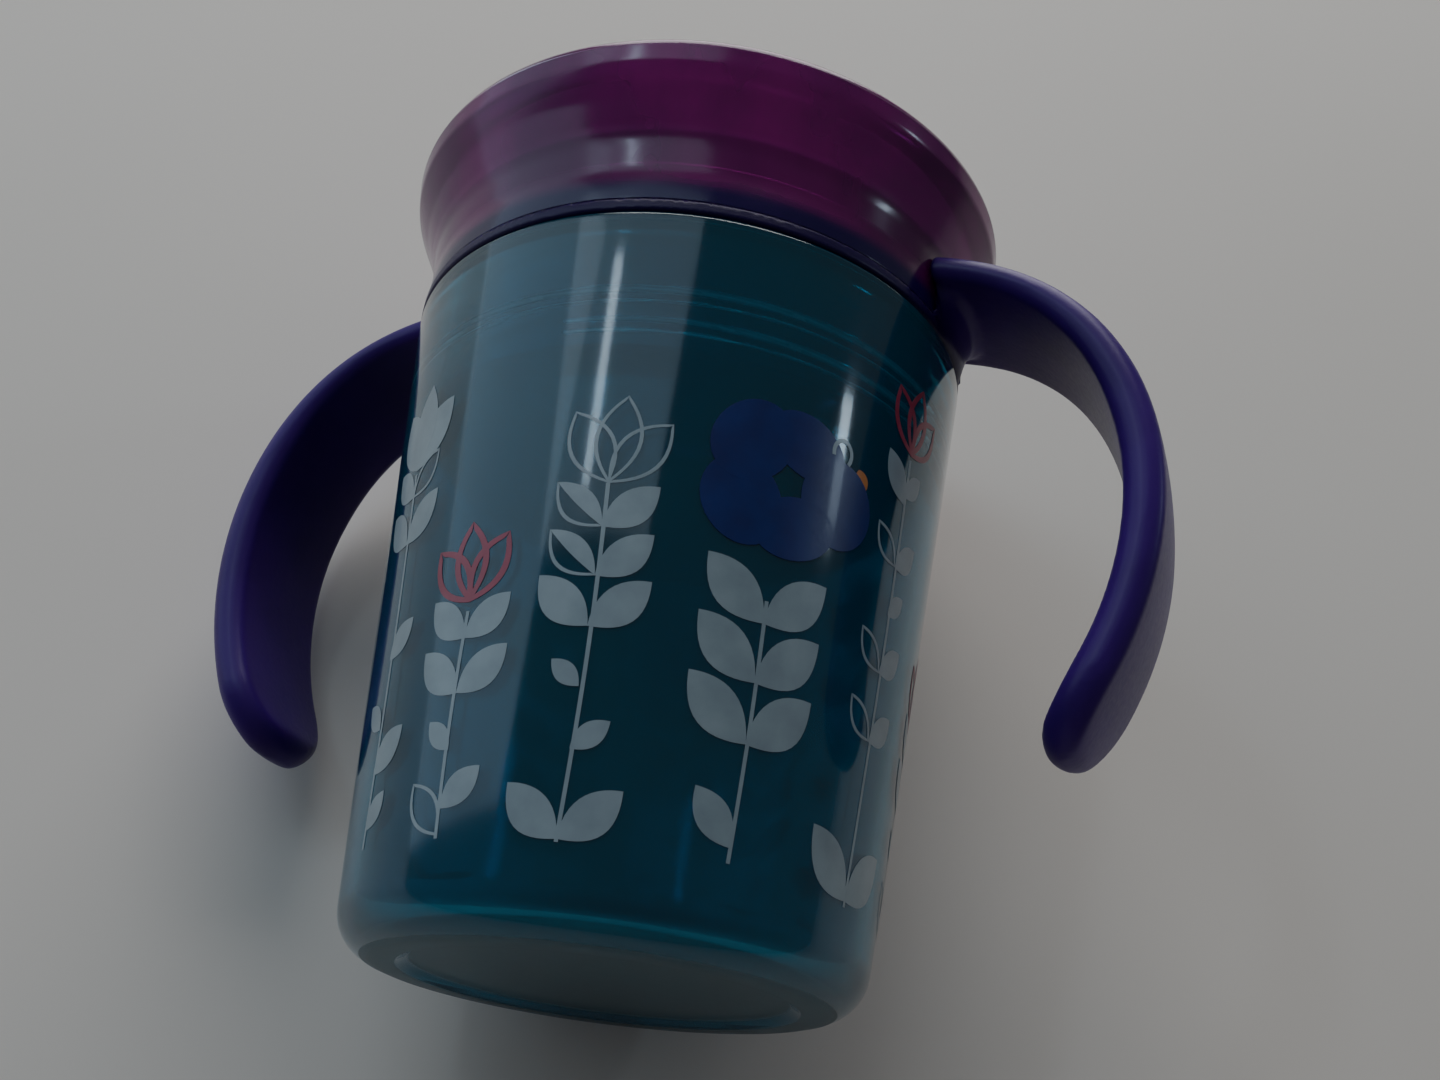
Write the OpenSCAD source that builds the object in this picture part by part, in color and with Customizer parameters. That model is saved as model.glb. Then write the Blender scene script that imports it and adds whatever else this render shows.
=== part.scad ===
// Two-handled toddler cup with a drinking rim that works all the way round.
// Z is the cup's axis, the foot ring stands on Z = 0 and the handles lie along X.

/* [Cup] */
// Outer radius of the cup at its top edge
cup_top_r = 37; // [36.5:0.1:38]
// Outer radius that the straight wall would reach at the base
cup_base_r = 29.9; // [29:0.1:32]
// Height of the cup without its lid
cup_h = 81.7; // [78:0.1:86]
// Wall thickness of the tapered part
cup_wall = 1.8; // [1.6:0.1:2]
// Outer corner radius round the base
base_corner_r = 5.3; // [5:0.1:5.6]
// How far the middle of the base is raised off the surface
base_recess = 1; // [0.8:0.1:1.4]

/* [Screw thread] */
// Rise of the thread in one turn
thread_pitch = 4.2; // [4.2:0.1:4.6]
// Bore of the cup where the lid screws in
thread_bore_r = 34; // [33.9:0.05:34.05]
// How far a thread ridge stands out
thread_depth = 1; // [0.9:0.05:1]
// Width of a thread ridge at its root
thread_w = 1.8; // [1.6:0.1:1.8]

/* [Handle ring] */
// Thickness of the ring where it shows between cup and lid
ring_h = 1.7; // [1.5:0.1:2]
// Width of a handle where it leaves the ring
strap_root_w = 21.4; // [20:0.2:22.6]
// Width of a handle at its free end
strap_tip_w = 18.5; // [16:0.5:19]
// Thickness of a handle at the ring
strap_root_t = 3.9; // [3.6:0.1:4.2]
// Thickness of a handle at its free end
strap_tip_t = 5.3; // [4.8:0.1:5.6]

/* [Lid] */
// Largest radius of the flared drinking rim
rim_r = 41.4; // [41.2:0.05:41.8]
// Height of the lid above the seam with the ring
lid_h = 21.4; // [21:0.1:22]
// Rounding radius of the drinking rim
rim_round_r = 1.6; // [1.4:0.1:1.7]
// Number of slots in the lid's floor
slot_count = 12; // [8:1:12]

/* [Valve] */
// Thickness of the soft valve disc
valve_t = 1.5; // [1.3:0.1:1.7]
// Radius of the grip in the middle of the valve
grip_r = 5; // [4.5:0.1:5.5]

/* [Hidden] */
$fn = 96;

// Heights of the stacked pieces
seam_z = cup_h + ring_h;
lid_top = seam_z + lid_h;
rim_z = lid_top - rim_round_r;

// Level that the heights in the lid and the handles are measured from
lid_z = seam_z + 1.2;

// Cup
foot_r = cup_base_r - base_corner_r;
foot_w = 1.8;
recess_slope_w = 1;
floor_t = 1.9;
inner_corner_r = 3.6;
bore_bottom = cup_h - 17;
bore_taper_h = 4;
rim_edge_r = 0.7;

// Thread on both pieces
ridge_steps_per_turn = 36;
ridge_sink = 0.3;
ridge_taper = 0.8;
ridge_least_part = 0.4;
fade_turns = 0.25;
thread_turns = 1.5;
thread_start = -90;
thread_gap = 0.35;
lid_ridge_w = thread_w - 0.2;
cup_thread_z = cup_h - 14.6;
lid_thread_z = cup_thread_z + thread_pitch / 2;

// Lid
skirt_r = thread_bore_r - thread_depth - 0.4;
skirt_bore_r = skirt_r - 1.6;
skirt_bottom = cup_h - 16.4;
lid_floor_z = lid_z + 2.4;
lid_floor_t = 1.8;
lid_floor_top = lid_floor_z + lid_floor_t;
seat_r = 33;
seat_z = lid_z + 8.6;
ledge_r = 35.6;
ledge_z = seat_z + 1.6;
flare_foot_r = cup_top_r - 0.15;
flare_wall = 1.6;
flare_ceiling = lid_z + 5.6;
groove_r = skirt_r + 0.3;
groove_top = lid_z + 5;

// Points of the lid's outer face: distance out from its foot or in from its rim, and
// height above lid_z
flare_from_foot = [[-0.1, 3.4], [0.4, 7.4], [1, 9.4]];
flare_from_rim = [[2.35, 12.4], [1.15, 14.7], [0.35, 16.4]];

// Inside of the rim and the bowl down to the seat, in the same way
bowl_from_rim = [3.3, 15];
bowl_from_ledge = [1, 1.6];
seat_inset = 1.6;
seat_drop = 1.4;
slot_r = 26;
slot_w = 3.6;
slot_angle = 20;
cut_margin = 1;
stem_r = 3.6;
stem_hole_r = stem_r + 0.25;

// Handle ring
ring_bore_r = thread_bore_r + 0.05;
ring_step_r = 35;
ring_step_h = 2.8;
lid_clearance = 0.4;
strap_steps = 26;
strap_sides = 16;
strap_tip_steps = 3;
strap_tip_closing = 0.9;
strap_edge_roundness = 3;
strap_thicken_from = 0.08;
strap_thicken_over = 0.4;
collar_overlap = 0.6;
collar_half_angle = 11;
collar_foot_z = cup_h + 0.1;

// Outer face of that collar: how far outside the ring, and height above lid_z
collar_face = [[1.2, -2], [1.7, 0], [2.3, 1.6], [5, 2.2], [5, 3]];
collar_top = 4.6;

// Curve that a handle follows from ring to free end, in X and Z, and how far its
// outer face lies outside that curve at both ends
outer_face_root = 3.25;
outer_face_tip = 2.55;
strap_path = [
    [35.4, lid_z + 3.7],
    [64.6, lid_z - 1.3],
    [67.2, lid_z - 36],
    [50.2, lid_z - 57.3]
];

// Valve
valve_gap = 0.25;
valve_r = ledge_r - valve_gap - 1;
hub_r = 8;

// Point of a cubic curve with four control points, at s from 0 to 1
function curve_point(p, s) =
    pow(1 - s, 3) * p[0] + 3 * pow(1 - s, 2) * s * p[1]
    + 3 * (1 - s) * s * s * p[2] + pow(s, 3) * p[3];

// Direction of that curve, not scaled to length one
function curve_way(p, s) =
    pow(1 - s, 2) * (p[1] - p[0]) + 2 * (1 - s) * s * (p[2] - p[1])
    + s * s * (p[3] - p[2]);

// Points of an arc round a centre, from angle a0 to a1
function arc(c, r, a0, a1, n = 8) =
    [for (i = [0:n]) c + r * [cos(a0 + (a1 - a0) * i / n), sin(a0 + (a1 - a0) * i / n)]];

// Faces of a tube whose rings of points follow each other, closed at both ends
function tube_faces(rings, sides) = concat(
    [[for (k = [sides - 1:-1:0]) k]],
    [for (i = [0:rings - 2], k = [0:sides - 1])
        each [
            [i * sides + k, i * sides + (k + 1) % sides, (i + 1) * sides + k],
            [i * sides + (k + 1) % sides, (i + 1) * sides + (k + 1) % sides, (i + 1) * sides + k]
        ]],
    [[for (k = [0:sides - 1]) (rings - 1) * sides + k]]
);

// Outer radius of the cup's straight wall at a height
function cup_r(z) = cup_base_r + (cup_top_r - cup_base_r) * z / cup_h;

// A right-hand ridge with a four-sided section, fading out at both ends.
// root_r lies inside the wall it grows from, crest_r is its free edge.
module thread_ridge(root_r, crest_r, root_w, crest_w, z0) {
    steps = round(thread_turns * ridge_steps_per_turn);
    fade_steps = fade_turns * ridge_steps_per_turn;
    rings = [for (i = [0:steps])
        let (
            fade = min(1, i / fade_steps, (steps - i) / fade_steps),
            a = thread_start + 360 * i / ridge_steps_per_turn,
            z = z0 + thread_pitch * i / ridge_steps_per_turn,
            way = crest_r < root_r ? -1 : 1,
            free_r = root_r + (crest_r - root_r) * max(fade, ridge_least_part)
        )
        each [for (q = [[root_r, -way * root_w / 2], [free_r, -way * crest_w / 2],
                        [free_r, way * crest_w / 2], [root_r, way * root_w / 2]])
            [q[0] * cos(a), q[0] * sin(a), z + q[1]]]];
    polyhedron(rings, tube_faces(steps + 1, 4), convexity = 6);
}

module cup_body() {
    recess_top_r = foot_r - foot_w - recess_slope_w;
    floor_z = base_recess + floor_t;
    taper_z = bore_bottom - bore_taper_h;
    color("teal", 0.75) {
        rotate_extrude(convexity = 6)
            polygon(concat(
                [[0, base_recess], [recess_top_r, base_recess], [foot_r - foot_w, 0]],
                arc([foot_r, base_corner_r], base_corner_r, 270, 365),
                arc([cup_top_r - rim_edge_r, cup_h - rim_edge_r], rim_edge_r, 5, 90, 4),
                [[thread_bore_r, cup_h], [thread_bore_r, bore_bottom],
                 [cup_r(taper_z) - cup_wall, taper_z]],
                arc([cup_r(floor_z) - cup_wall - inner_corner_r, floor_z + inner_corner_r],
                    inner_corner_r, 5, -90),
                [[0, floor_z]]
            ));
        thread_ridge(thread_bore_r + ridge_sink, thread_bore_r - thread_depth, thread_w,
                     thread_w - ridge_taper, cup_thread_z);
    }
}

// Thickness of a handle at s from 0 at the ring to 1 at its free end
function strap_t(s) =
    let (q = max(0, min(1, (s - strap_thicken_from) / strap_thicken_over)))
    strap_root_t + (strap_tip_t - strap_root_t) * q * q * (3 - 2 * q);

// Solid that the lid sweeps as it turns, with a little room all round
module lid_room() {
    rotate_extrude(convexity = 4)
        polygon(concat(
            [[0, seam_z], [flare_foot_r + lid_clearance, seam_z]],
            [for (p = flare_points()) p + [lid_clearance, 0]],
            [[0, lid_top]]
        ));
}

module handle_strap() {
    section = [for (k = [0:strap_sides - 1]) -360 * k / strap_sides];
    rings = [for (i = [0:strap_steps])
        let (
            s = i / strap_steps,
            p = curve_point(strap_path, s),
            v = curve_way(strap_path, s),
            n = [-v[1], v[0]] / norm(v),
            to_end = (1 - s) * strap_steps / strap_tip_steps,
            tip = to_end < 1 ? sqrt(1 - pow(1 - to_end, 2) * strap_tip_closing) : 1,
            full_t = strap_t(s),
            outer = outer_face_root + (outer_face_tip - outer_face_root) * s,
            w = (strap_root_w + (strap_tip_w - strap_root_w) * s) / 2 * tip,
            t = full_t / 2 * tip
        )
        each [for (a = section)
            let (
                flat = sign(cos(a)) * min(1, abs(cos(a)) * strap_edge_roundness),
                across = (w - t) * flat + t * cos(a),
                out = outer - full_t / 2 + t * sin(a)
            )
            [p[0] + n[0] * out, across, p[1] + n[1] * out]]];
    polyhedron(rings, tube_faces(strap_steps + 1, strap_sides), convexity = 6);
}

// Piece of upright collar that carries a handle on the ring, outside the lid
module handle_collar() {
    rotate(-collar_half_angle)
        rotate_extrude(angle = 2 * collar_half_angle)
            polygon(concat(
                [[cup_top_r - collar_overlap, collar_foot_z], [cup_top_r, collar_foot_z]],
                [for (p = collar_face) [cup_top_r + p[0], lid_z + p[1]]],
                [[cup_top_r - collar_overlap, lid_z + collar_top]]
            ));
}

module handle_ring() {
    color("indigo") {
        rotate_extrude()
            polygon([
                [ring_bore_r, cup_h], [cup_top_r, cup_h], [cup_top_r, seam_z],
                [ring_step_r, seam_z], [ring_step_r, seam_z + ring_step_h],
                [ring_bore_r, seam_z + ring_step_h]
            ]);
        for (turn = [0, 180])
            rotate(turn)
                difference() {
                    union() {
                        handle_strap();
                        handle_collar();
                    }
                    lid_room();
                }
    }
}

// Outer face of the lid from its foot to the widest ring
function flare_points() = concat(
    [[flare_foot_r, seam_z]],
    [for (p = flare_from_foot) [flare_foot_r + p[0], lid_z + p[1]]],
    [for (p = flare_from_rim) [rim_r - p[0], lid_z + p[1]]],
    [[rim_r, rim_z]]
);

module lid_profile() {
    polygon(concat(
        flare_points(),
        arc([rim_r - rim_round_r, rim_z], rim_round_r, 0, 180, 12),
        [[rim_r - bowl_from_rim[0], lid_z + bowl_from_rim[1]],
         [ledge_r + bowl_from_ledge[0], ledge_z + bowl_from_ledge[1]], [ledge_r, ledge_z],
         [seat_r, seat_z], [seat_r - seat_inset, lid_floor_top + seat_drop],
         [skirt_bore_r - 0.6, lid_floor_top],
         [stem_hole_r, lid_floor_top], [stem_hole_r, lid_floor_z],
         [skirt_bore_r, lid_floor_z], [skirt_bore_r, skirt_bottom],
         [skirt_r, skirt_bottom], [skirt_r, lid_z],
         [groove_r, groove_top], [flare_foot_r - flare_wall, flare_ceiling],
         [flare_foot_r - flare_wall, seam_z]]
    ));
}

module floor_slot() {
    rotate(-slot_angle / 2)
        translate([0, 0, lid_floor_z - cut_margin])
            rotate_extrude(angle = slot_angle)
                translate([slot_r - slot_w / 2, 0])
                    square([slot_w, lid_floor_t + 2 * cut_margin]);
}

module lid_ring() {
    color("mediumvioletred", 0.8) {
        difference() {
            rotate_extrude(convexity = 8) lid_profile();
            for (i = [0:slot_count - 1])
                rotate(360 * i / slot_count) floor_slot();
        }
        thread_ridge(skirt_r - ridge_sink, thread_bore_r - thread_gap, lid_ridge_w,
                     lid_ridge_w - ridge_taper, lid_thread_z);
    }
}

module valve() {
    color("gainsboro")
        rotate_extrude()
            polygon([
                [0, lid_floor_z - 0.4], [stem_r, lid_floor_z - 0.4], [stem_r, lid_floor_top],
                [hub_r, lid_floor_top], [seat_r - 4, seat_z - 1.6],
                [seat_r + 0.4, seat_z + 0.7], [valve_r, ledge_z + 0.1],
                [valve_r - 0.4, ledge_z + valve_t - 0.5], [seat_r, seat_z + valve_t + 0.4],
                [seat_r - 4, seat_z - 1.4 + valve_t], [hub_r, lid_floor_top + valve_t + 0.3],
                [grip_r, lid_floor_top + valve_t + 0.3], [grip_r - 1.2, ledge_z + 2],
                [grip_r, ledge_z + 4], [grip_r - 1, ledge_z + 5], [0, ledge_z + 5]
            ]);
}

cup_body();
handle_ring();
lid_ring();
valve();
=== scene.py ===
import math

import bmesh
import bpy
from mathutils import Matrix, Vector


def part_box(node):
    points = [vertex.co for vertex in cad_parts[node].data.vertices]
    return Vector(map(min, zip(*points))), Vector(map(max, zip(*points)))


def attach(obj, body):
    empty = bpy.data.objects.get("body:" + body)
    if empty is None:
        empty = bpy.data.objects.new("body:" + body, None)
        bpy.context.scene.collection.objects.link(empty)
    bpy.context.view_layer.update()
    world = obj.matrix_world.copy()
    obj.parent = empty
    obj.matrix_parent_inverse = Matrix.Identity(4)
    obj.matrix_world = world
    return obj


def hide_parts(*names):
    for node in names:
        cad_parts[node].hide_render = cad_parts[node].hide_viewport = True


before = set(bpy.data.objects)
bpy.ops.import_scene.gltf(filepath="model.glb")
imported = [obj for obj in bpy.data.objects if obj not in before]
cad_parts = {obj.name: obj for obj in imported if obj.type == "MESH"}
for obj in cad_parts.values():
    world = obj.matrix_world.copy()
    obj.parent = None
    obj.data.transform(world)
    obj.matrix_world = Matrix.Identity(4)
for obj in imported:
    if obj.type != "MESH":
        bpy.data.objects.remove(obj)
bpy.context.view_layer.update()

MM = 0.001
SEGMENTS = 240
SHARP_ANGLE = math.radians(40)
NEARLY_STRAIGHT = math.radians(178)
ON_AXIS = 1e-7


# ---------------------------------------------------------------- sizes worked out from the frame

cup_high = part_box("cup_body")[1]
lid_low, lid_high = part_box("lid_ring")

CUP_H = cup_high.z
CUP_TOP_R = cup_high.x
CUP_BASE_R = CUP_TOP_R - 7.1 * MM
SEAM_Z = CUP_H + 1.7 * MM
LID_Z = SEAM_Z + 1.2 * MM
LID_TOP = lid_high.z
RIM_R = lid_high.x
RING_STEP_R = 35.0 * MM
RING_STEP_H = 2.8 * MM

PITCH = 4.2 * MM
THREAD_DEPTH = 1.0 * MM
LID_THREAD_DEPTH = 1.05 * MM
BORE_R = 34.0 * MM
THREAD_TURNS = 1.5
THREAD_START = -math.pi / 2
THREAD_FADE = 1 / 9
THREAD_ROW = 0.2 * MM
THREAD_ROOT_W = 1.8 * MM
THREAD_CREST_W = 1.0 * MM
LID_THREAD_ROOT_W = 1.6 * MM
LID_THREAD_CREST_W = 0.8 * MM
CUP_THREAD_Z = CUP_H - 14.6 * MM
LID_THREAD_Z = CUP_THREAD_Z + PITCH / 2
SKIRT_R = 32.6 * MM
SKIRT_BOTTOM = lid_low.z
FLOOR_Z = LID_Z + 2.4 * MM
FLOOR_TOP = FLOOR_Z + 1.8 * MM
SEAT_Z = LID_Z + 8.6 * MM
LEDGE_Z = SEAT_Z + 1.6 * MM
LID_FOOT_R = CUP_TOP_R - 0.15 * MM
LID_WALL = 1.6 * MM
SKIRT_BORE_R = 31 * MM
LEDGE_R = 35.6 * MM
SEAT_R = 33 * MM
SLOT_OUT_R = 27.8 * MM
SLOT_IN_R = 24.2 * MM
SLOT_COUNT = 12
SLOT_WIDTH = math.radians(20)
LID_HUB_R = 7 * MM
STEM_HOLE_R = 3.85 * MM


def cup_r(z):
    """Outer radius of the cup's straight wall at a height."""
    return CUP_BASE_R + (CUP_TOP_R - CUP_BASE_R) * z / CUP_H


# ---------------------------------------------------------------- mesh helpers

def make_object(name, bm, material):
    """A finished mesh object from a bmesh: outward normals, smooth but for its sharp edges."""
    bmesh.ops.recalc_face_normals(bm, faces=bm.faces)
    mesh = bpy.data.meshes.new(name)
    bm.to_mesh(mesh)
    bm.free()
    for face in mesh.polygons:
        face.use_smooth = True
    mesh.set_sharp_from_angle(angle=SHARP_ANGLE)
    mesh.materials.append(material)
    piece = bpy.data.objects.new(name, mesh)
    bpy.context.scene.collection.objects.link(piece)
    return piece


def fillet(corners, steps=6):
    """Outline of (r, z) points from corners (r, z, rounding radius).

    Each rounded corner becomes an arc in the given number of steps.
    """
    points = []
    last = len(corners) - 1
    for i, (r, z, rounding) in enumerate(corners):
        here = Vector((r, z))
        if rounding == 0 or i in (0, last):
            points.append(here)
            continue
        back = (Vector(corners[i - 1][:2]) - here).normalized()
        ahead = (Vector(corners[i + 1][:2]) - here).normalized()
        half = back.angle(ahead) / 2
        if half > NEARLY_STRAIGHT / 2:
            points.append(here)
            continue
        reach = rounding / math.tan(half)
        middle = here + (back + ahead).normalized() * (rounding / math.sin(half))
        start = here + back * reach - middle
        turn = math.pi - 2 * half
        side = 1 if back.x * ahead.y - back.y * ahead.x < 0 else -1
        for k in range(steps + 1):
            a = side * turn * k / steps
            spun = Vector((
                start.x * math.cos(a) - start.y * math.sin(a),
                start.x * math.sin(a) + start.y * math.cos(a)))
            points.append(middle + spun)
    return points


def fine_rows(points, z0, z1, step):
    """The same outline with more rows on stretches that lie between two heights."""
    made = [points[0]]
    for a, b in zip(points, points[1:]):
        inside = z0 <= min(a.y, b.y) and max(a.y, b.y) <= z1
        count = max(1, round(abs(b.y - a.y) / step)) if inside else 1
        for k in range(1, count + 1):
            made.append(a.lerp(b, k / count))
    return made


def lathe(points, closed, shape=None, segments=SEGMENTS):
    """Turns an outline of (r, z) points round Z into a mesh and its rings of points.

    shape(r, z, angle) may move each point.
    """
    bm = bmesh.new()
    rings = []
    for p in points:
        if p.x < ON_AXIS:
            rings.append([bm.verts.new((0, 0, p.y))])
            continue
        ring = []
        for j in range(segments):
            a = 2 * math.pi * j / segments
            r, z = shape(p.x, p.y, a) if shape else (p.x, p.y)
            ring.append(bm.verts.new((r * math.cos(a), r * math.sin(a), z)))
        rings.append(ring)
    pairs = list(zip(rings, rings[1:]))
    if closed:
        pairs.append((rings[-1], rings[0]))
    for low, high in pairs:
        for j in range(segments):
            k = (j + 1) % segments
            if len(low) == 1:
                bm.faces.new((low[0], high[k], high[j]))
            elif len(high) == 1:
                bm.faces.new((low[j], low[k], high[0]))
            else:
                bm.faces.new((low[j], low[k], high[k], high[j]))
    return bm, rings


def ridge(z, angle, z0, root_w, crest_w):
    """Height of a helical ridge, from 0 to 1, at a height and an angle round Z."""
    best = 0
    for turn in range(-1, 3):
        along = (angle - THREAD_START) / (2 * math.pi) + turn
        if not 0 <= along <= THREAD_TURNS:
            continue
        off = abs(z - z0 - PITCH * along)
        slope = (root_w / 2 - off) / ((root_w - crest_w) / 2)
        ends = min(1, along / THREAD_FADE, (THREAD_TURNS - along) / THREAD_FADE)
        flank = max(0, min(1, slope))
        best = max(best, flank * flank * (3 - 2 * flank) * ends)
    return best


def mark_thread(piece):
    """Stores how close each point of the bore lies to an edge of the thread ridge, where the
    cup's material paints the thread lines paler.
    """
    mark = piece.data.attributes.new("thread_edge", "FLOAT", "POINT")
    line_w = 0.27 * MM
    from_middle = 0.75 * MM
    for i, v in enumerate(piece.data.vertices):
        if v.co.z < CUP_THREAD_Z - PITCH or math.hypot(v.co.x, v.co.y) > BORE_R + 0.1 * MM:
            continue
        angle = math.atan2(v.co.y, v.co.x) % (2 * math.pi)
        near = 0
        for turn in range(-1, 3):
            along = (angle - THREAD_START) / (2 * math.pi) + turn
            if 0 <= along <= THREAD_TURNS:
                off = abs(v.co.z - CUP_THREAD_Z - PITCH * along) - from_middle
                near = max(near, math.exp(-(off / line_w) ** 2))
        mark.data[i].value = near


def mark_ring(piece):
    """Stores 1 on the clamped ring and 0 on the handles, soft where they meet; the handle
    material paints shade where it is 1.
    """
    mark = piece.data.attributes.new("clamped_ring", "FLOAT", "POINT")
    for i, v in enumerate(piece.data.vertices):
        past = math.hypot(v.co.x, v.co.y) - CUP_TOP_R
        mark.data[i].value = max(0, min(1, 1 - past / (1.2 * MM)))


def apply_modifiers(piece):
    """Turns a piece's modifiers into its mesh."""
    bpy.context.view_layer.update()
    graph = bpy.context.evaluated_depsgraph_get()
    done = bpy.data.meshes.new_from_object(piece.evaluated_get(graph), depsgraph=graph)
    piece.modifiers.clear()
    old = piece.data
    piece.data = done
    bpy.data.meshes.remove(old)
    for face in piece.data.polygons:
        face.use_smooth = True


# ---------------------------------------------------------------- material helpers

def new_material(name):
    """An empty node material, its tree and its surface shader."""
    material = bpy.data.materials.new(name)
    material.use_nodes = True
    tree = material.node_tree
    return material, tree, tree.nodes["Principled BSDF"]


def noise_node(tree, scale, detail=4.0, stretch=(1, 1, 1)):
    """A noise texture in object space, scale in features per metre."""
    place = tree.nodes.new("ShaderNodeTexCoord")
    mapping = tree.nodes.new("ShaderNodeMapping")
    mapping.inputs["Scale"].default_value = stretch
    tree.links.new(place.outputs["Object"], mapping.inputs["Vector"])
    texture = tree.nodes.new("ShaderNodeTexNoise")
    texture.inputs["Scale"].default_value = scale
    texture.inputs["Detail"].default_value = detail
    tree.links.new(mapping.outputs["Vector"], texture.inputs["Vector"])
    return texture


def ramp(tree, source, low, high, low_at=0.35, high_at=0.65):
    """A colour ramp over a factor."""
    node = tree.nodes.new("ShaderNodeValToRGB")
    node.color_ramp.elements[0].position = low_at
    node.color_ramp.elements[0].color = (*low, 1)
    node.color_ramp.elements[1].position = high_at
    node.color_ramp.elements[1].color = (*high, 1)
    tree.links.new(source, node.inputs["Fac"])
    return node


def spread(tree, source, low, high):
    """Maps a factor from 0..1 to low..high."""
    node = tree.nodes.new("ShaderNodeMapRange")
    node.inputs["To Min"].default_value = low
    node.inputs["To Max"].default_value = high
    tree.links.new(source, node.inputs["Value"])
    return node


def bump(tree, bsdf, source, distance):
    """Fine relief of a surface, distance in metres."""
    node = tree.nodes.new("ShaderNodeBump")
    node.inputs["Strength"].default_value = 1
    node.inputs["Distance"].default_value = distance
    tree.links.new(source, node.inputs["Height"])
    tree.links.new(node.outputs["Normal"], bsdf.inputs["Normal"])


def blended(tree, factor, colour, other):
    """One colour output, turned into another plain colour where a factor is 1."""
    node = tree.nodes.new("ShaderNodeMix")
    node.data_type = "RGBA"
    node.inputs["B"].default_value = (*other, 1)
    tree.links.new(factor, node.inputs["Factor"])
    tree.links.new(colour, node.inputs["A"])
    return node.outputs["Result"]


def stored(tree, name):
    """A number stored on the points of the mesh."""
    node = tree.nodes.new("ShaderNodeAttribute")
    node.attribute_name = name
    return node.outputs["Fac"]


def by_height(tree, none_at, full_at):
    """0 at one height of the piece and 1 at another, smooth in between."""
    place = tree.nodes.new("ShaderNodeTexCoord")
    split = tree.nodes.new("ShaderNodeSeparateXYZ")
    tree.links.new(place.outputs["Object"], split.inputs["Vector"])
    rise = tree.nodes.new("ShaderNodeMapRange")
    rise.interpolation_type = "SMOOTHSTEP"
    rise.inputs["From Min"].default_value = none_at
    rise.inputs["From Max"].default_value = full_at
    tree.links.new(split.outputs["Z"], rise.inputs["Value"])
    return rise


# ---------------------------------------------------------------- materials

# How much rougher the underside is than the gloss of the wall
UNDERSIDE_ROUGHER = 0.5


def underside(tree):
    """1 on the flat moulded underside of the base, 0 elsewhere."""
    side = tree.nodes.new("ShaderNodeNewGeometry")
    split = tree.nodes.new("ShaderNodeSeparateXYZ")
    tree.links.new(side.outputs["True Normal"], split.inputs["Vector"])
    down = tree.nodes.new("ShaderNodeMapRange")
    down.inputs["From Min"].default_value = -0.90
    down.inputs["From Max"].default_value = -0.97
    tree.links.new(split.outputs["Z"], down.inputs["Value"])
    return down


def cup_plastic():
    """Glossy, slightly cloudy teal polypropylene with fine handling marks."""
    material, tree, bsdf = new_material("cup_plastic")
    bsdf.inputs["IOR"].default_value = 1.49
    bsdf.inputs["Coat Weight"].default_value = 0.2
    bsdf.inputs["Coat Roughness"].default_value = 0.05
    under = underside(tree)
    cloud = noise_node(tree, 28, 3)
    tint = ramp(tree, cloud.outputs["Fac"], (0.02, 0.26, 0.42), (0.035, 0.32, 0.48))
    # The flat underside is painted paler grey: partly its frosted finish, partly a painted
    # reflection of the light around the base.
    frost_and_reflection = blended(tree, under.outputs["Result"], tint.outputs["Color"], (0.30, 0.40, 0.42))
    # Thread edges painted paler and less clear: partly the moulded thread's milky scatter, partly
    # a painted highlight where the edges catch light.
    edge = stored(tree, "thread_edge")
    milky_and_highlight = blended(tree, edge, frost_and_reflection, (0.72, 0.88, 0.92))
    tree.links.new(milky_and_highlight, bsdf.inputs["Base Color"])
    clear = spread(tree, edge, 0.86, 0.12)
    tree.links.new(clear.outputs["Result"], bsdf.inputs["Transmission Weight"])
    marks = noise_node(tree, 420, 5, (1, 1, 0.25))
    rough = spread(tree, marks.outputs["Fac"], 0.05, 0.13)
    rougher = tree.nodes.new("ShaderNodeMath")
    rougher.operation = "MULTIPLY_ADD"
    rougher.inputs[1].default_value = UNDERSIDE_ROUGHER
    tree.links.new(under.outputs["Result"], rougher.inputs[0])
    tree.links.new(rough.outputs["Result"], rougher.inputs[2])
    tree.links.new(rougher.outputs["Value"], bsdf.inputs["Roughness"])
    flow = noise_node(tree, 90, 2, (1, 1, 0.4))
    bump(tree, bsdf, flow.outputs["Fac"], 0.00004)
    return material


def lid_plastic():
    """Glossy translucent magenta purple, with painted shade making its foot dark violet where the
    ring's step stands behind it.
    """
    material, tree, bsdf = new_material("lid_plastic")
    bsdf.inputs["IOR"].default_value = 1.49
    bsdf.inputs["Transmission Weight"].default_value = 0.5
    bsdf.inputs["Specular IOR Level"].default_value = 0.36
    bsdf.inputs["Coat Weight"].default_value = 0.06
    bsdf.inputs["Coat Roughness"].default_value = 0.06
    cloud = noise_node(tree, 70, 4, (1, 1, 0.35))
    tint = ramp(tree, cloud.outputs["Fac"], (0.15, 0.002, 0.13), (0.28, 0.005, 0.20))
    # Painted shade: the lid's foot is darkened towards the ring, standing in for the ring's step
    # and its shadow seen through the wall.
    foot = by_height(tree, SEAM_Z + 4.0 * MM, SEAM_Z + 1.6 * MM)
    shade = blended(tree, foot.outputs["Result"], tint.outputs["Color"], (0.016, 0.0015, 0.11))
    tree.links.new(shade, bsdf.inputs["Base Color"])
    marks = noise_node(tree, 300, 5)
    rough = spread(tree, marks.outputs["Fac"], 0.13, 0.22)
    tree.links.new(rough.outputs["Result"], bsdf.inputs["Roughness"])
    flow = noise_node(tree, 80, 2)
    bump(tree, bsdf, flow.outputs["Fac"], 0.00004)
    return material


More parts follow.
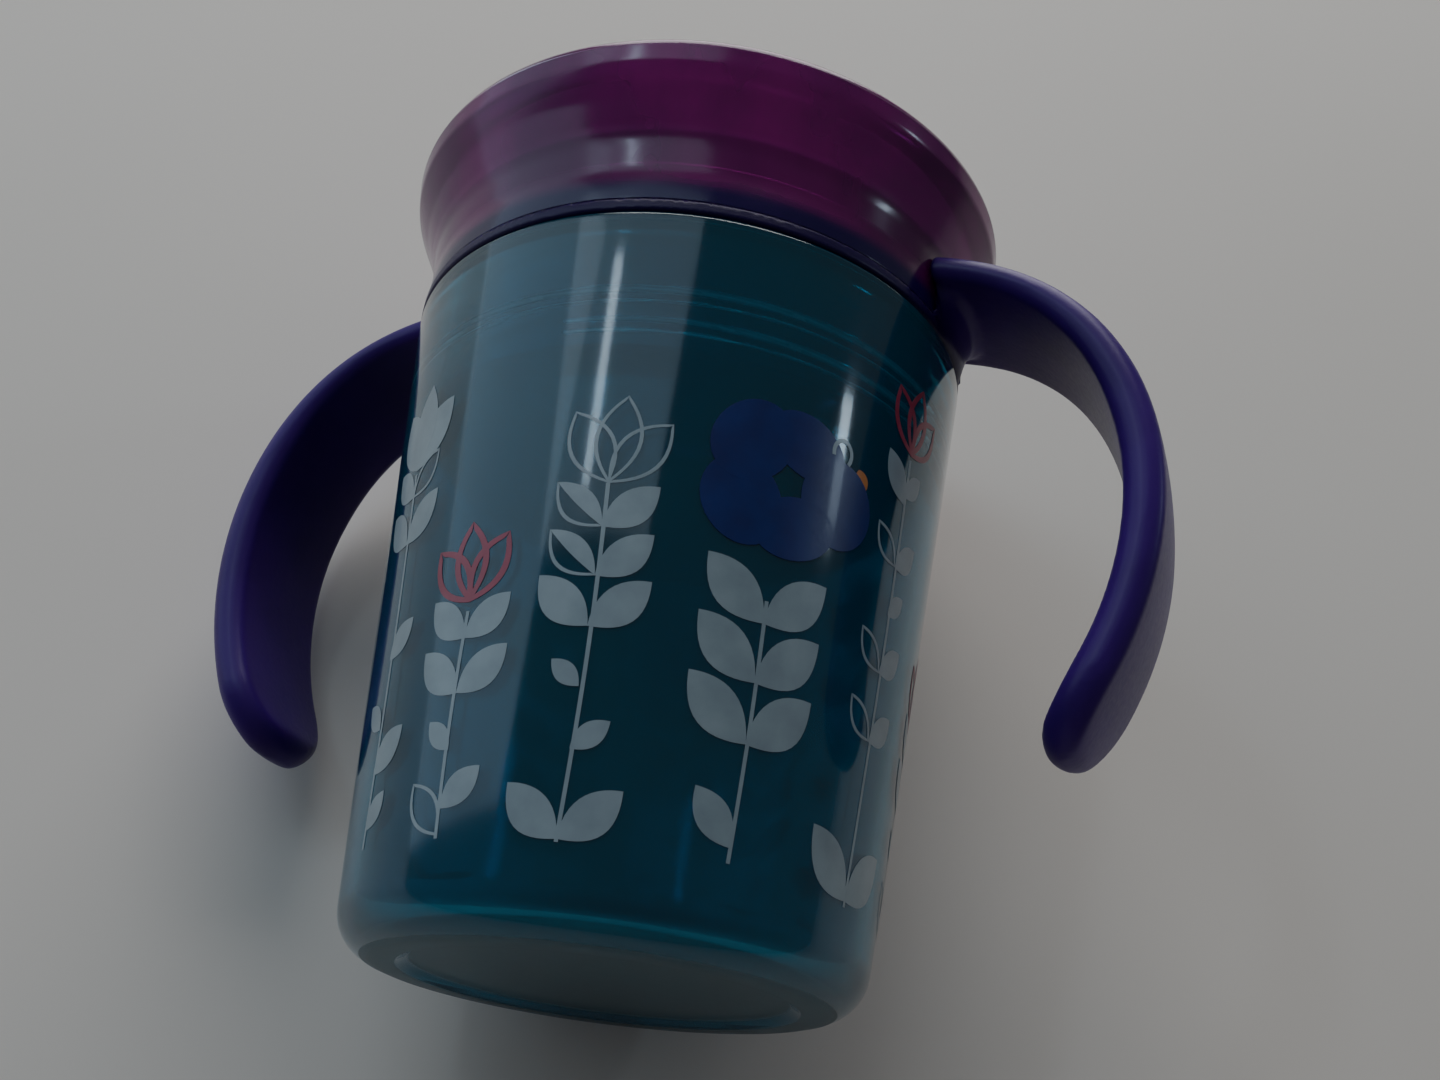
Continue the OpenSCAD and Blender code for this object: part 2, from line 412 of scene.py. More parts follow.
def handle_plastic():
    """Satin deep violet with a fine moulded grain, with painted shade darkening the clamped ring.
    """
    material, tree, bsdf = new_material("handle_plastic")
    bsdf.inputs["Subsurface Weight"].default_value = 0.12
    bsdf.inputs["Subsurface Radius"].default_value = (0.4, 0.2, 0.8)
    bsdf.inputs["Subsurface Scale"].default_value = 0.002
    bsdf.inputs["Specular IOR Level"].default_value = 0.22
    bsdf.inputs["Coat Weight"].default_value = 0.05
    bsdf.inputs["Coat Roughness"].default_value = 0.2
    cloud = noise_node(tree, 60, 4)
    tint = ramp(tree, cloud.outputs["Fac"], (0.034, 0.003, 0.14), (0.050, 0.006, 0.19))
    # Painted shade: the clamped ring is darkened as if it sat in the shadow of the lid's
    # overhang.
    ring = stored(tree, "clamped_ring")
    ring_shade = blended(tree, ring, tint.outputs["Color"], (0.010, 0.001, 0.055))
    tree.links.new(ring_shade, bsdf.inputs["Base Color"])
    grain = noise_node(tree, 1500, 3)
    rough = spread(tree, grain.outputs["Fac"], 0.30, 0.44)
    tree.links.new(rough.outputs["Result"], bsdf.inputs["Roughness"])
    bump(tree, bsdf, grain.outputs["Fac"], 0.00002)
    return material


def valve_silicone():
    """Milky violet silicone."""
    material, tree, bsdf = new_material("valve_silicone")
    bsdf.inputs["Subsurface Weight"].default_value = 0.5
    bsdf.inputs["Subsurface Radius"].default_value = (1.0, 0.7, 1.0)
    bsdf.inputs["Subsurface Scale"].default_value = 0.003
    cloud = noise_node(tree, 60, 3)
    tint = ramp(tree, cloud.outputs["Fac"], (0.36, 0.24, 0.42), (0.44, 0.31, 0.50))
    tree.links.new(tint.outputs["Color"], bsdf.inputs["Base Color"])
    dust = noise_node(tree, 900, 4)
    rough = spread(tree, dust.outputs["Fac"], 0.42, 0.6)
    tree.links.new(rough.outputs["Result"], bsdf.inputs["Roughness"])
    bump(tree, bsdf, dust.outputs["Fac"], 0.00002)
    return material


def ink(name, thin, thick):
    """Printed ink that varies a little in thickness."""
    material, tree, bsdf = new_material(name)
    bsdf.inputs["Coat Weight"].default_value = 0.2
    bsdf.inputs["Coat Roughness"].default_value = 0.08
    patch = noise_node(tree, 260, 4)
    tint = ramp(tree, patch.outputs["Fac"], thin, thick, 0.3, 0.7)
    tree.links.new(tint.outputs["Color"], bsdf.inputs["Base Color"])
    dots = noise_node(tree, 2500, 2)
    rough = spread(tree, dots.outputs["Fac"], 0.26, 0.40)
    tree.links.new(rough.outputs["Result"], bsdf.inputs["Roughness"])
    return material


# ---------------------------------------------------------------- cup, lid and valve

def build_cup(material):
    """The tumbler with its recessed base and the thread inside its mouth."""
    foot_r = CUP_BASE_R - 5.3 * MM
    wall = 1.8 * MM
    recess = 1.0 * MM
    floor = 2.9 * MM
    bore_bottom = CUP_H - 17 * MM
    taper_z = bore_bottom - 4 * MM
    outline = fillet([
        (0, recess, 0),
        (foot_r - 3 * MM, recess, 1.6 * MM),
        (foot_r - 1.6 * MM, 0, 1.0 * MM),
        (cup_r(0) - 0.02 * MM, 0, 5.2 * MM),
        (CUP_TOP_R, CUP_H, 0.7 * MM),
        (BORE_R, CUP_H, 0.5 * MM),
        (BORE_R, bore_bottom, 1.5 * MM),
        (cup_r(taper_z) - wall, taper_z, 3 * MM),
        (cup_r(floor) - wall, floor, 3.6 * MM),
        (0, floor, 0),
    ], 8)
    outline = fine_rows(outline, bore_bottom, CUP_H, THREAD_ROW)

    def thread(r, z, angle):
        if r < BORE_R + 0.05 * MM and z > bore_bottom:
            r -= THREAD_DEPTH * ridge(z, angle, CUP_THREAD_Z, THREAD_ROOT_W, THREAD_CREST_W)
        return r, z

    bm, _ = lathe(outline, False, thread)
    piece = make_object("cup_shell", bm, material)
    mark_thread(piece)
    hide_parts("cup_body")
    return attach(piece, "cup")


def flare_points():
    """Outer face of the lid from its foot to the widest ring, as (r, z, rounding)."""
    return [
        (LID_FOOT_R, SEAM_Z, 0.2 * MM),
        (LID_FOOT_R - 0.12 * MM, LID_Z + 3.4 * MM, 12 * MM),
        (LID_FOOT_R + 0.35 * MM, LID_Z + 7.4 * MM, 9 * MM),
        (LID_FOOT_R + 1.0 * MM, LID_Z + 9.4 * MM, 8 * MM),
        (RIM_R - 2.35 * MM, LID_Z + 12.4 * MM, 12 * MM),
        (RIM_R - 1.15 * MM, LID_Z + 14.7 * MM, 12 * MM),
        (RIM_R - 0.3 * MM, LID_Z + 16.4 * MM, 3 * MM),
    ]


def rim_and_bowl_points():
    """The drinking rim, and the bowl inside it down to the floor."""
    lip = 1.6 * MM
    return [
        (RIM_R, LID_TOP - lip, 2 * MM),
        (RIM_R, LID_TOP, lip - 0.01 * MM),
        (RIM_R - 2 * lip, LID_TOP, lip - 0.01 * MM),
        (RIM_R - 3.3 * MM, LID_Z + 15 * MM, 6 * MM),
        (LEDGE_R + 1 * MM, LEDGE_Z + 1.6 * MM, 1.6 * MM),
        (LEDGE_R, LEDGE_Z, 0.6 * MM),
        (SEAT_R, SEAT_Z, 0.6 * MM),
        (SEAT_R - 1.6 * MM, FLOOR_TOP + 1.4 * MM, 0.8 * MM),
        (SKIRT_BORE_R - 0.6 * MM, FLOOR_TOP, 0.4 * MM),
    ]


def floor_points():
    """Both faces of the lid's floor, with rows for the slots and the stem's hole."""
    return [
        (SLOT_OUT_R, FLOOR_TOP, 0),
        (SLOT_IN_R, FLOOR_TOP, 0),
        (LID_HUB_R, FLOOR_TOP, 0),
        (STEM_HOLE_R, FLOOR_TOP, 0.3 * MM),
        (STEM_HOLE_R, FLOOR_Z, 0.3 * MM),
        (LID_HUB_R, FLOOR_Z, 0),
        (SLOT_IN_R, FLOOR_Z, 0),
        (SLOT_OUT_R, FLOOR_Z, 0),
    ]


def skirt_points():
    """The threaded skirt, and the inside of the flare down to the foot."""
    return [
        (SKIRT_BORE_R, FLOOR_Z, 0.6 * MM),
        (SKIRT_BORE_R, SKIRT_BOTTOM, 0.5 * MM),
        (SKIRT_R, SKIRT_BOTTOM, 0.5 * MM),
        (SKIRT_R, LID_Z, 0.5 * MM),
        (SKIRT_R + 0.3 * MM, LID_Z + 5 * MM, 0.6 * MM),
        (LID_FOOT_R - LID_WALL, LID_Z + 5.6 * MM, 0.6 * MM),
        (LID_FOOT_R - LID_WALL, SEAM_Z, 0.2 * MM),
    ]


def lid_outline():
    """Outline of the lid, round its whole section."""
    whole = flare_points() + rim_and_bowl_points() + floor_points() + skirt_points()
    looped = [whole[-1], *whole, whole[0]]
    return fillet(looped, 6)[1:-1]


def cut_slots(bm, rings, outline):
    """Opens arc slots through the lid's floor and walls their sides."""
    def ring_at(r, z):
        near = min(range(len(outline)), key=lambda i: (outline[i] - Vector((r, z))).length)
        return rings[near]

    top_out, top_in = ring_at(SLOT_OUT_R, FLOOR_TOP), ring_at(SLOT_IN_R, FLOOR_TOP)
    low_out, low_in = ring_at(SLOT_OUT_R, FLOOR_Z), ring_at(SLOT_IN_R, FLOOR_Z)
    half = round(SLOT_WIDTH / 2 / (2 * math.pi) * SEGMENTS)
    bm.faces.ensure_lookup_table()
    gone = []
    walls = []
    for n in range(SLOT_COUNT):
        middle = round(n * SEGMENTS / SLOT_COUNT)
        steps = [(middle + k) % SEGMENTS for k in range(-half, half + 1)]
        for j, k in zip(steps, steps[1:]):
            for a, b in ((top_out, top_in), (low_out, low_in)):
                shared = set(a[j].link_faces) & set(b[k].link_faces)
                gone.extend(shared)
            walls.append((top_out[j], top_out[k], low_out[k], low_out[j]))
            walls.append((top_in[k], top_in[j], low_in[j], low_in[k]))
        first, last = steps[0], steps[-1]
        walls.append((top_in[first], top_out[first], low_out[first], low_in[first]))
        walls.append((top_out[last], top_in[last], low_in[last], low_out[last]))
    bmesh.ops.delete(bm, geom=list(set(gone)), context="FACES")
    for wall in walls:
        bm.faces.new(wall)


def build_lid(material):
    """The drinking rim with its slotted floor and threaded skirt."""
    outline = lid_outline()
    outline = fine_rows(outline, SKIRT_BOTTOM, LID_Z, THREAD_ROW)

    def thread(r, z, angle):
        if abs(r - SKIRT_R) < 0.05 * MM and z < LID_Z:
            rise = ridge(z, angle, LID_THREAD_Z, LID_THREAD_ROOT_W, LID_THREAD_CREST_W)
            r += LID_THREAD_DEPTH * rise
        return r, z

    bm, rings = lathe(outline, True, thread)
    cut_slots(bm, rings, outline)
    piece = make_object("lid_rim", bm, material)
    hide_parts("lid_ring")
    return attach(piece, "lid")


def valve_outline():
    """Outline of the valve: stem, sealing underside, edge, top and grip."""
    thick = 1.5 * MM
    stem_r = 3.6 * MM
    hub_r = 8 * MM
    edge_r = LEDGE_R - 1.25 * MM
    grip_r = 5 * MM
    return fillet([
        (0, FLOOR_Z - 0.4 * MM, 0),
        (stem_r, FLOOR_Z - 0.4 * MM, 1.2 * MM),
        (stem_r, FLOOR_TOP, 0.1 * MM),
        (hub_r, FLOOR_TOP, 1 * MM),
        (SEAT_R - 4 * MM, SEAT_Z - 1.6 * MM, 4 * MM),
        (SEAT_R + 0.4 * MM, SEAT_Z + 0.7 * MM, 1 * MM),
        (edge_r, LEDGE_Z + 0.1 * MM, 0.3 * MM),
        (edge_r - 0.4 * MM, LEDGE_Z + 1 * MM, 0.3 * MM),
        (SEAT_R, SEAT_Z + thick + 0.4 * MM, 0.8 * MM),
        (SEAT_R - 4 * MM, SEAT_Z + 0.1 * MM, 3 * MM),
        (hub_r, FLOOR_TOP + thick + 0.3 * MM, 2 * MM),
        (grip_r, FLOOR_TOP + thick + 0.3 * MM, 1 * MM),
        (grip_r - 1.2 * MM, LEDGE_Z + 2 * MM, 1.5 * MM),
        (grip_r, LEDGE_Z + 4 * MM, 0.8 * MM),
        (grip_r - 1 * MM, LEDGE_Z + 5 * MM, 0.6 * MM),
        (0, LEDGE_Z + 5 * MM, 0),
    ])


def build_valve(material):
    """The soft disc that seals the rim all the way round."""
    bm, _ = lathe(valve_outline(), False, segments=144)
    piece = make_object("valve_disc", bm, material)
    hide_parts("valve")
    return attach(piece, "valve")


# ---------------------------------------------------------------- handle ring

STRAP_PATH = [
    Vector((35.4 * MM, LID_Z + 3.7 * MM)),
    Vector((64.6 * MM, LID_Z - 1.3 * MM)),
    Vector((67.2 * MM, LID_Z - 36 * MM)),
    Vector((50.2 * MM, LID_Z - 57.3 * MM)),
]
MELT_VOXEL = 0.36 * MM
RELAX_PASSES = 8
STRAP_LENGTH = 75.8 * MM
STRAP_TIP_LENGTH = 9.2 * MM
STRAP_ROOT_W, STRAP_TIP_W = 21.4 * MM, 18.5 * MM
STRAP_ROOT_T, STRAP_TIP_T = 3.9 * MM, 5.3 * MM
THICKEN_FROM, THICKEN_OVER = 0.08, 0.4
OUTER_FACE_ROOT, OUTER_FACE_TIP = 3.25 * MM, 2.55 * MM
STRAP_ROWS = 110
STRAP_SIDES = 40
STRAP_CROWN = 0.05


def strap_point(s):
    """Centreline point and direction of a handle, s from 0 at the ring to 1 at its tip."""
    a, b, c, d = STRAP_PATH
    q = 1 - s
    point = q**3 * a + 3 * q * q * s * b + 3 * q * s * s * c + s**3 * d
    way = q * q * (b - a) + 2 * q * s * (c - b) + s * s * (d - c)
    return point, way.normalized()


def between(low, high, s):
    """The value at s from 0 to 1 on the way from low to high."""
    return low + (high - low) * s


def strap_thickness(s):
    """Thinnest at the ring, then growing to the grip's thickness."""
    q = max(0, min(1, (s - THICKEN_FROM) / THICKEN_OVER))
    return between(STRAP_ROOT_T, STRAP_TIP_T, q * q * (3 - 2 * q))


def strap_size(s):
    """Half the width and half the thickness of a handle, rounded off at its tip."""
    half_w = between(STRAP_ROOT_W, STRAP_TIP_W, s) / 2
    half_t = strap_thickness(s) / 2
    to_tip = (1 - s) * STRAP_LENGTH
    if to_tip < STRAP_TIP_LENGTH:
        near = math.sqrt(max(0, 1 - (1 - to_tip / STRAP_TIP_LENGTH) ** 2))
        half_w = max(0.25 * MM, half_w * near)
    if to_tip < half_t:
        half_t *= math.sqrt(max(0.02, 1 - (1 - to_tip / half_t) ** 2))
    return half_w, half_t


def strap_rings(side):
    """Cross-sections of a handle: flat faces, fully rounded long edges, rounded tip."""
    rings = []
    for i in range(STRAP_ROWS + 1):
        s = 1 - (1 - i / STRAP_ROWS) ** 1.25
        point, way = strap_point(s)
        out = Vector((-way.y, way.x))
        outer_face = between(OUTER_FACE_ROOT, OUTER_FACE_TIP, s)
        middle = point + out * (outer_face - strap_thickness(s) / 2)
        half_w, half_t = strap_size(s)
        flat = max(0, half_w - half_t)
        ring = []
        for k in range(STRAP_SIDES):
            a = 2 * math.pi * k / STRAP_SIDES
            c = math.cos(a)
            across = flat * max(-1, min(1, c * 2.2)) + min(half_w, half_t) * c
            lift = half_t * math.sin(a) * (1 - STRAP_CROWN * c * c)
            p = middle + out * lift
            ring.append(Vector((side * p.x, side * across, p.y)))
        rings.append(ring)
    return rings


def tube(bm, rings):
    """Joins rings of points into a closed tube."""
    rows = [[bm.verts.new(p) for p in ring] for ring in rings]
    count = len(rows[0])
    for low, high in zip(rows, rows[1:]):
        for j in range(count):
            k = (j + 1) % count
            bm.faces.new((low[j], low[k], high[k], high[j]))
    bm.faces.new(rows[0][::-1])
    bm.faces.new(rows[-1])


def collar(bm, side):
    """The upright collar at a handle's root, fading out at both ends.

    Its inner face lies in the lid's wall, so it overlaps the lid there.
    """
    inner = CUP_TOP_R - 0.6 * MM
    section = [
        (inner, CUP_H + 0.1 * MM), (CUP_TOP_R, CUP_H + 0.1 * MM),
        (CUP_TOP_R + 0.6 * MM, CUP_H + 0.9 * MM), (CUP_TOP_R + 1.2 * MM, LID_Z),
        (CUP_TOP_R + 2.1 * MM, LID_Z + 1.6 * MM), (CUP_TOP_R + 5.0 * MM, LID_Z + 2.2 * MM),
        (CUP_TOP_R + 5.0 * MM, LID_Z + 3 * MM), (inner, LID_Z + 4.6 * MM),
    ]
    half = math.radians(13)
    steps = 12
    rings = []
    for i in range(-steps, steps + 1):
        a = half * i / steps
        full = max(0.1, 1 - abs(i / steps) ** 3)
        ring = []
        for r, z in section:
            reach = inner + (r - inner) * full
            ring.append(Vector((side * reach * math.cos(a), side * reach * math.sin(a), z)))
        rings.append(ring)
    tube(bm, rings)


def lid_radius(z):
    """Outer radius of the lid at a height, for the room that it needs."""
    steps = flare_points()
    for (r0, z0, _), (r1, z1, _) in zip(steps, steps[1:]):
        if z0 <= z <= z1:
            return r0 + (r1 - r0) * (z - z0) / (z1 - z0)
    return 0


def true_ring(piece):
    """Puts the ring's faces back where the melting rounded them."""
    edge = 0.2 * MM
    for v in piece.data.vertices:
        r = math.hypot(v.co.x, v.co.y)
        if r > CUP_TOP_R + 0.6 * MM or v.co.z > SEAM_Z + RING_STEP_H + 0.5 * MM:
            continue
        away = math.degrees(math.atan2(abs(v.co.y), abs(v.co.x))) > 22
        if v.co.z < CUP_H + 0.4 * MM and r < CUP_TOP_R - edge:
            v.co.z = CUP_H
        elif abs(v.co.z - SEAM_Z) < 0.4 * MM and RING_STEP_R + 0.3 * MM < r < CUP_TOP_R - edge:
            v.co.z = SEAM_Z
        elif away and r > CUP_TOP_R - 0.5 * MM and CUP_H - edge < v.co.z < SEAM_Z + edge:
            v.co.z = min(max(v.co.z, CUP_H + 0.02 * MM), SEAM_Z - 0.02 * MM)
            inset = max(0, 1 - min(v.co.z - CUP_H, SEAM_Z - v.co.z) / edge)
            scale = (CUP_TOP_R - edge * inset * inset) / r
            v.co.x *= scale
            v.co.y *= scale
        if v.co.z > SEAM_Z + edge and RING_STEP_R < r < CUP_TOP_R - 0.6 * MM:
            v.co.x *= RING_STEP_R / r
            v.co.y *= RING_STEP_R / r
        v.co.z = max(v.co.z, CUP_H)


def clear_lid(piece):
    """Moves points near the ring's outer edge out of the room in which the lid turns.

    Deeper points of the handles' roots stay where they are and overlap the lid's wall.
    """
    gap = 0.4 * MM
    for v in piece.data.vertices:
        r = math.hypot(v.co.x, v.co.y)
        room = lid_radius(v.co.z) + gap
        if v.co.z > SEAM_Z + 0.05 * MM and CUP_TOP_R - 0.6 * MM < r < room:
            v.co.x *= room / r
            v.co.y *= room / r


def build_handles(material):
    """The clamped ring with both handles, melted into one moulding."""
    bm, _ = lathe(fillet([
        (BORE_R + 0.05 * MM, CUP_H, 0.2 * MM),
        (CUP_TOP_R, CUP_H, 0.2 * MM),
        (CUP_TOP_R, SEAM_Z, 0.2 * MM),
        (RING_STEP_R, SEAM_Z, 0.2 * MM),
        (RING_STEP_R, SEAM_Z + RING_STEP_H, 0.2 * MM),
        (BORE_R + 0.05 * MM, SEAM_Z + RING_STEP_H, 0.2 * MM),
    ], 4), True)
    for side in (1, -1):
        tube(bm, strap_rings(side))
        collar(bm, side)
    piece = make_object("handle_moulding", bm, material)
    melt = piece.modifiers.new("melt", "REMESH")
    melt.mode = "VOXEL"
    melt.voxel_size = MELT_VOXEL
    melt.use_smooth_shade = True
    relax = piece.modifiers.new("relax", "SMOOTH")
    relax.factor = 0.5
    relax.iterations = RELAX_PASSES
    apply_modifiers(piece)
    true_ring(piece)
    clear_lid(piece)
    mark_ring(piece)
    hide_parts("handle_ring")
    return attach(piece, "handles")


# ---------------------------------------------------------------- printed decoration

INK_LIFT = 0.02 * MM
INK_DEPTH = 0.02 * MM
INK_STEP = 0.004 * MM
LINE_W = 0.42 * MM
RED_LINE_W = 0.8 * MM
LEAF_SHAPE = 0.54
LEAF_SPREAD = 48
GROUND_Z = 9 * MM


def on_wall(azimuth, z, lift):
    """Point on the cup's wall. Azimuth is in degrees from -Y towards +X."""
    a = math.radians(azimuth)
    r = cup_r(z) + lift
    return Vector((r * math.sin(a), -r * math.cos(a), z))


def wrap(azimuth, z, u, v):
    """Azimuth and height of a point u across and v up from a place on the wall, in metres."""
    return azimuth + math.degrees(u / cup_r(z)), z + v


def print_grid(bm, azimuth, z, rows, level=0):
    """A film of ink on the wall from rows of flat (u, v) points, closed on both sides.

    Films that cross each other lie on different levels.
    """
    base = INK_LIFT + level * INK_STEP

    def layer(lift):
        return [[bm.verts.new(on_wall(*wrap(azimuth, z, u, v), lift)) for u, v in row]
                for row in rows]

    top, low = layer(base + INK_DEPTH), layer(base)
    n, m = len(rows), len(rows[0])
    for i in range(n - 1):
        for j in range(m - 1):
            bm.faces.new((top[i][j], top[i][j + 1], top[i + 1][j + 1], top[i + 1][j]))
            bm.faces.new((low[i + 1][j], low[i + 1][j + 1], low[i][j + 1], low[i][j]))
    edge = [(i, 0) for i in range(n)] + [(n - 1, j) for j in range(1, m)]
    edge += [(i, m - 1) for i in range(n - 2, -1, -1)] + [(0, j) for j in range(m - 2, 0, -1)]
    for (a, b), (c, d) in zip(edge, edge[1:] + edge[:1]):
        bm.faces.new((top[a][b], top[c][d], low[c][d], low[a][b]))


def ribbon(bm, azimuth, z, points, width, level=0):
    """A printed line of even width through flat (u, v) points."""
    rows = []
    for i, p in enumerate(points):
        a = Vector(points[max(0, i - 1)])
        b = Vector(points[min(len(points) - 1, i + 1)])
        way = (b - a).normalized()
        side = Vector((-way.y, way.x)) * width / 2
        here = Vector(p)
        rows.append([tuple(here - side), tuple(here + side)])
    print_grid(bm, azimuth, z, rows, level)


def leaf_outline(along, side, length, width, bend, pointed, start):
    """Left and right edge points of a flat leaf, from its foot to its tip."""
    steps = 18
    outline = []
    for i in range(steps + 1):
        t = (1 - math.cos(math.pi * i / steps)) / 2
        half = max(width / 2 * (4 * t * (1 - t)) ** pointed, 0.04 * MM)
        centre = along * (start + t * length) + side * bend * math.sin(math.pi * t)
        outline.append((centre - side * half, centre + side * half))
    return outline


def leaf_fill(outline, style):
    """Rows of points across a whole leaf, or across its right half."""
    across = 6
    first = 0 if style == "half" else -across
    return [[tuple(left.lerp(right, (k / across + 1) / 2)) for k in range(first, across + 1, 2)]
            for left, right in outline]


def leaf_border(outline, line):
    """The same outline drawn in by a line's width."""
    inner = []
    for left, right in outline:
        pull = min(line, (right - left).length * 0.45)
        inward = (right - left).normalized() * pull
        inner.append((left + inward, right - inward))
    return inner


def leaf(bm, azimuth, z, angle, length, width, style="full", level=1,
         bend=0.0, pointed=1.0, line=LINE_W, start=0.0):
    """A printed leaf growing from a place on the wall; angle is from straight up, clockwise.

    pointed is 1 for a leaf with two points and 0.5 for an oval petal. A full leaf is
    filled, a line leaf is outlined, and a half leaf is filled on its right.
    """
    a = math.radians(angle)
    along, side = Vector((math.sin(a), math.cos(a))), Vector((math.cos(a), -math.sin(a)))
    outline = leaf_outline(along, side, length, width, bend, pointed, start)
    if style in ("full", "half"):
        print_grid(bm, azimuth, z, leaf_fill(outline, style), level)
    if style in ("line", "half"):
        inner = leaf_border(outline, line)
        left = [[tuple(o[0]), tuple(i[0])] for o, i in zip(outline, inner)]
        print_grid(bm, azimuth, z, left, level)
        if style == "line":
            right = [[tuple(i[1]), tuple(o[1])] for o, i in zip(outline, inner)]
            print_grid(bm, azimuth, z, right, level)


def bloom(bm, azimuth, z, size, tilt, style, line=LINE_W):
    """A printed three-petal bud: a plain or an outlined cup of petals."""
    for level, (turn, part) in enumerate(((-34, 0.92), (34, 0.92), (0, 1.0))):
        leaf(bm, azimuth, z, tilt + turn, size * part, size * 0.5, style, 2 + level, line=line)


def stem(bm, azimuth, low, high, lean):
    """A thin printed stalk between two heights, bowed sideways by lean."""
    steps = 20
    points = []
    for i in range(steps + 1):
        t = i / steps
        points.append((lean * math.sin(math.pi * t), (high - low) * t))
    ribbon(bm, azimuth, low, points, LINE_W)


def leafy(bm, azimuth, pairs, singles):
    """Leaves on a stalk, with heights and lengths in millimetres.

    pairs are (height, length, left style, right style) and singles are
    (height, angle, length, style).
    """
    bend = 0.25 * MM
    for height, length, left, right in pairs:
        size = length * MM
        width = size * LEAF_SHAPE
        leaf(bm, azimuth, height * MM, -LEAF_SPREAD, size, width, left, 1, -bend)
        leaf(bm, azimuth, height * MM, LEAF_SPREAD, size, width, right, 2, bend)
    for height, angle, length, style in singles:
        size = length * MM
        leaf(bm, azimuth, height * MM, angle, size, size * LEAF_SHAPE, style)


def print_tall_plant(white, azimuth):
    stem(white, azimuth, GROUND_Z, 53 * MM, 0.5 * MM)
    leafy(white, azimuth, [(44, 8, "full", "full"), (50, 7, "full", "line")],
          [(30, 48, 6, "full"), (22, -48, 5, "full"), (17, 48, 7, "full"), (11, 40, 5, "full")])
    bloom(white, azimuth, 53.5 * MM, 11 * MM, 8, "full")


def print_short_plant(white, red, azimuth):
    stem(white, azimuth, GROUND_Z, 33 * MM, -0.3 * MM)
    leafy(white, azimuth, [(30, 7, "full", "full"), (24, 7.5, "full", "full")],
          [(18, -45, 4.5, "full"), (12, 45, 6, "full"), (9.3, -38, 7, "line")])
    bloom(red, azimuth, 34 * MM, 9.5 * MM, -6, "line", RED_LINE_W)


def print_bloom_plant(white, azimuth):
    stem(white, azimuth, GROUND_Z, 47 * MM, 0.4 * MM)
    leafy(white, azimuth, [(42, 7.5, "half", "full"), (36.5, 7.5, "half", "full"),
                           (31, 8, "full", "full"), (9.3, 7.8, "full", "full")],
          [(24.6, -50, 4.2, "full"), (18.2, 50, 4.8, "full")])
    bloom(white, azimuth, 47 * MM, 10.5 * MM, 5, "line")


def print_leaf_plant(white, azimuth):
    stem(white, azimuth, GROUND_Z + 0.5 * MM, 37 * MM, 0.2 * MM)
    leafy(white, azimuth, [(34.5, 9.5, "full", "full"), (28, 9.5, "full", "full"),
                           (21.5, 9.5, "full", "full")], [(11, -40, 7, "full")])


def print_high_plant(white, red, azimuth):
    stem(white, azimuth, GROUND_Z, 62 * MM, 0.4 * MM)
    leafy(white, azimuth, [(9.6, 9.4, "full", "full"), (48, 6, "line", "full"),
                           (35, 6, "line", "full"), (27, 6, "line", "full")],
          [(56, -40, 7, "full"), (57, 40, 5, "full"), (42, 45, 4.5, "full")])
    bloom(red, azimuth, 62.5 * MM, 9.5 * MM, 4, "line", RED_LINE_W)


def print_blue_flower(blue, white, orange, azimuth, z):
    """Five round petals about an open middle, with a seed and a curl at one side."""
    petals = 5
    for k in range(petals):
        turn = 360 / petals * k + 20
        reach = (8.6 - 1.6 * math.cos(math.radians(2 * turn))) * MM
        leaf(blue, azimuth, z, turn, reach, 10.5 * MM, "full", 1 + k, pointed=0.5,
             start=1.6 * MM)
    leaf(orange, azimuth + 15, z + 5.2 * MM, 150, 2.6 * MM, 2.0 * MM, pointed=0.7)
    curl = []
    for k in range(13):
        a = math.radians(200 - 20 * k)
        curl.append((1.3 * MM * math.cos(a), 1.6 * MM * math.sin(a)))
    top_level = petals + 2
    ribbon(white, azimuth + 10.5, z + 6 * MM, curl, 0.5 * MM, top_level)


def build_print():
    """All the ink on the cup, one piece for each colour."""
    white, red, blue, orange = (bmesh.new() for _ in range(4))
    for turn in (0, 180):
        print_tall_plant(white, turn - 36)
        print_short_plant(white, red, turn - 12)
        print_bloom_plant(white, turn + 13)
        print_leaf_plant(white, turn + 45)
        print_high_plant(white, red, turn + 76)
        print_short_plant(white, red, turn + 106)
        print_blue_flower(blue, white, orange, turn + 46, 51 * MM)
    inks = [
        ("print_white", white, ink("ink_white", (0.23, 0.30, 0.34), (0.30, 0.38, 0.42))),
        ("print_red", red, ink("ink_red", (0.26, 0.02, 0.05), (0.34, 0.035, 0.08))),
        ("print_blue", blue, ink("ink_blue", (0.0015, 0.012, 0.11), (0.003, 0.020, 0.15))),
        ("print_orange", orange, ink("ink_orange", (0.42, 0.13, 0.02), (0.52, 0.18, 0.03))),
    ]
    for name, bm, material in inks:
        piece = make_object(name, bm, material)
        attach(piece, "cup")


# ---------------------------------------------------------------- camera, backdrop and light

# Angles in degrees, azimuth from -Y towards +X, and the lens in millimetres
VIEW_AZIMUTH = 24.6
CAMERA_DISTANCE = 167.2 * MM
CAMERA_Z = -24.4 * MM
HEADING = 22.14
RISE = 26.43
ROLL = 7.28
LENS = 35.52
FLOOR_SIZE = 3.0


